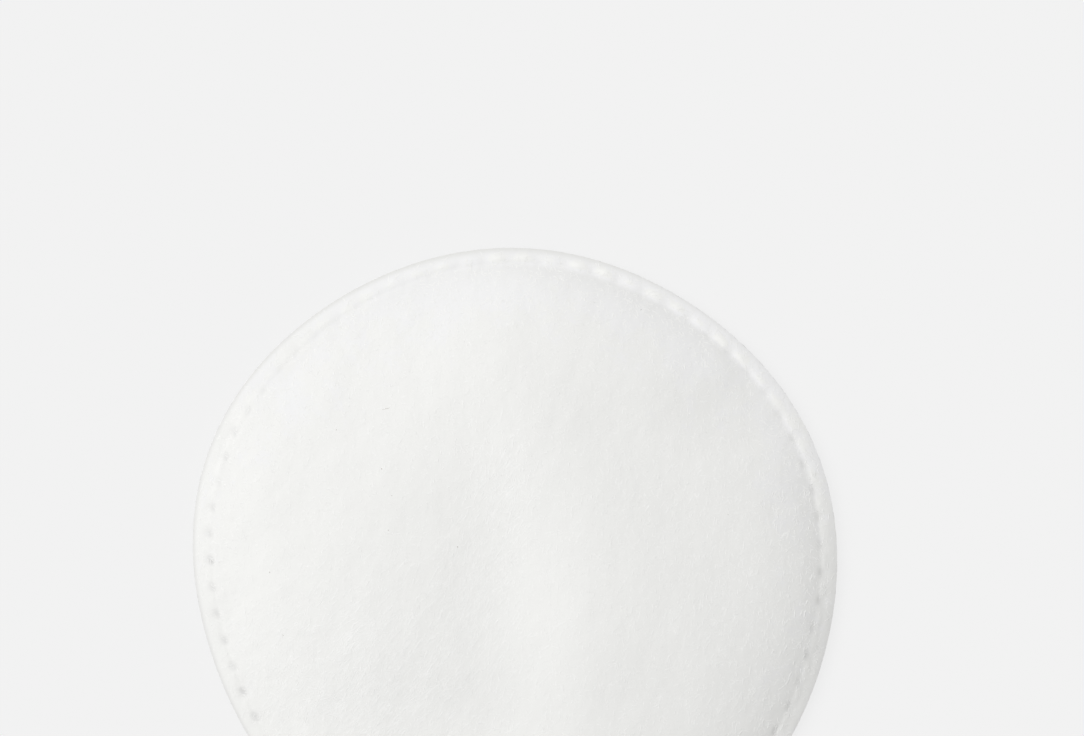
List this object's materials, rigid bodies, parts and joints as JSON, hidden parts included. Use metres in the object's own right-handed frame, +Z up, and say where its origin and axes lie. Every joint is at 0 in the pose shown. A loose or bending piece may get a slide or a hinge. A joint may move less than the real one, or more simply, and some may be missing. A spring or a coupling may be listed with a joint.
{
  "type": "cotton pad",
  "caption": "Round white cotton pad: a soft, slightly domed body inside a pressed seam of small dents, with a thin lip around it. It lies on its back.",
  "frame": {"origin": "centre of the pad's box on the surface that it lies on", "axes": "+Z up through the pad's face, +Y towards the top of the pictured face, +X to its right"},
  "size_m": [0.0582, 0.0578, 0.0053],
  "materials": {
    "cotton": "matt white cotton fleece with fine raised fibres"
  },
  "bodies": {
    "root": {"cotton_pad": "cotton"}
  },
  "joints": []
}
